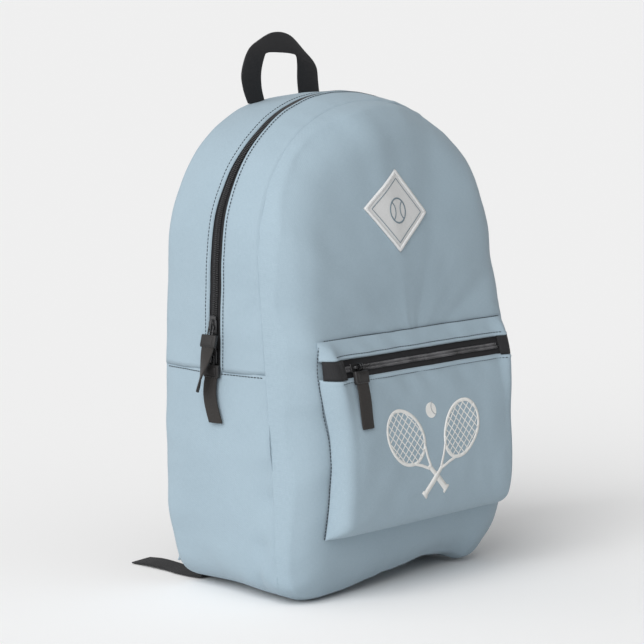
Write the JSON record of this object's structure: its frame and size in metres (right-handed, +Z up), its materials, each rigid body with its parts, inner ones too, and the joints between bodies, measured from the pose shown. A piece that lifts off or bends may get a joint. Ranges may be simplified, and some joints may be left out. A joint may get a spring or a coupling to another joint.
{
  "type": "racket backpack",
  "caption": "Arched day backpack for racket sports with a wrap-round zip, a front zip pocket, a webbing haul loop and padded shoulder straps.",
  "frame": {"origin": "centre of the base where it meets the floor, under the origin of the side strip", "axes": "+Z up, -Y towards the front pocket, +Y towards the shoulder straps, -X towards the side where the main sliders are parked"},
  "size_m": [0.3285, 0.2778, 0.4822],
  "materials": {
    "shell_cloth": "pale blue woven polyester",
    "webbing": "black ribbed webbing",
    "zip_tape": "black woven zip tape and binding",
    "zip_coil": "black coil, satin",
    "slider_metal": "black enamel, satin",
    "pull_binder": "black moulded rubber",
    "buckle": "black moulded, satin",
    "back_padding": "black padded mesh",
    "lining": "grey lining",
    "patch": "pale grey woven badge"
  },
  "bodies": {
    "shell": {"back_panel": "back_padding", "base_gusset": "shell_cloth", "front_panel_lower": "shell_cloth", "front_seam_binding_lower": "zip_tape", "front_strip_left": "shell_cloth", "front_strip_right": "shell_cloth", "laptop_sleeve": "lining", "left_lower_webbing": "webbing", "left_strap_anchor": "shell_cloth", "left_webbing_tail": "webbing", "main_zip_coil_front_left": "zip_coil", "main_zip_coil_front_right": "zip_coil", "main_zip_coil_rear": "zip_coil", "main_zip_tape_front_left": "zip_tape", "main_zip_tape_front_right": "zip_tape", "main_zip_tape_rear": "zip_tape", "pocket_panel": "shell_cloth", "pocket_top_strip": "shell_cloth", "pocket_zip_coil_lower": "zip_coil", "pocket_zip_coil_upper": "zip_coil", "pocket_zip_tab_left": "zip_tape", "pocket_zip_tab_right": "zip_tape", "pocket_zip_tape_lower": "zip_tape", "pocket_zip_tape_upper": "zip_tape", "rear_seam_binding": "zip_tape", "rear_strip": "shell_cloth", "right_lower_webbing": "webbing", "right_strap_anchor": "shell_cloth", "sleeve_binding": "zip_tape", "strap_yoke": "shell_cloth"},
    "front_flap": {"front_panel_upper": "shell_cloth", "front_patch": "patch", "front_seam_binding_upper": "zip_tape", "front_strip_top": "shell_cloth", "main_zip_coil_front_top": "zip_coil", "main_zip_tape_front_top": "zip_tape"},
    "lower_slider": {"main_lower_slider": "slider_metal"},
    "lower_pull": {"main_lower_pull_binder": "pull_binder", "main_lower_pull_link": "slider_metal", "main_lower_pull_tape": "webbing"},
    "upper_slider": {"main_upper_slider": "slider_metal"},
    "upper_pull": {"main_upper_pull_binder": "pull_binder", "main_upper_pull_link": "slider_metal", "main_upper_pull_tape": "webbing"},
    "pocket_slider": {"pocket_slider": "slider_metal"},
    "pocket_pull": {"pocket_pull_binder": "pull_binder", "pocket_pull_ring": "slider_metal", "pocket_pull_tape": "webbing"},
    "haul_loop": {"haul_loop": "webbing"},
    "left_strap": {"left_shoulder_strap": "back_padding", "left_ladder_lock": "buckle"},
    "right_strap": {"right_shoulder_strap": "back_padding", "right_ladder_lock": "buckle", "right_webbing_tail": "webbing"}
  },
  "joints": [
    {"name": "front_flap_open", "type": "hinge", "parent": "shell", "child": "front_flap", "pos_m": [0, -0.09008, 0.252], "axis": [1, 0, 0], "range_deg": [0, 60]},
    {"name": "lower_slider_travel", "type": "slide", "parent": "shell", "child": "lower_slider", "axis": [0, 0, 1], "range_m": [0, 0.02]},
    {"name": "upper_slider_travel", "type": "slide", "parent": "lower_slider", "child": "upper_slider", "axis": [0, 0, 1], "range_m": [0, 0.018]},
    {"name": "lower_pull_swing", "type": "hinge", "parent": "lower_slider", "child": "lower_pull", "pos_m": [-0.15846, -0.004, 0.213], "axis": [0, 1, 0], "range_deg": [0, 18]},
    {"name": "upper_pull_swing", "type": "hinge", "parent": "upper_slider", "child": "upper_pull", "pos_m": [-0.15846, -0.004, 0.2385], "axis": [0, 1, 0], "range_deg": [0, 135]},
    {"name": "pocket_slider_travel", "type": "slide", "parent": "shell", "child": "pocket_slider", "axis": [1, 0, 0], "range_m": [0, 0.155]},
    {"name": "pocket_pull_swing", "type": "hinge", "parent": "pocket_slider", "child": "pocket_pull", "pos_m": [-0.09, -0.11181, 0.20587], "axis": [-1, 0, 0], "range_deg": [0, 120]},
    {"name": "haul_loop_fold", "type": "hinge", "parent": "shell", "child": "haul_loop", "pos_m": [0, 0.054, 0.42573], "axis": [1, 0, 0], "range_deg": [-80, 70], "stiffness_Nm_per_rad": 0.03},
    {"name": "left_strap_swing", "type": "hinge", "parent": "shell", "child": "left_strap", "pos_m": [-0.036, 0.0748, 0.388], "axis": [1, 0, 0], "range_deg": [0, 15], "deforming": ["left_webbing_tail", "left_lower_webbing"]},
    {"name": "right_strap_swing", "type": "hinge", "parent": "shell", "child": "right_strap", "pos_m": [0.036, 0.0748, 0.388], "axis": [1, 0, 0], "range_deg": [0, 15], "deforming": ["right_lower_webbing"]}
  ]
}
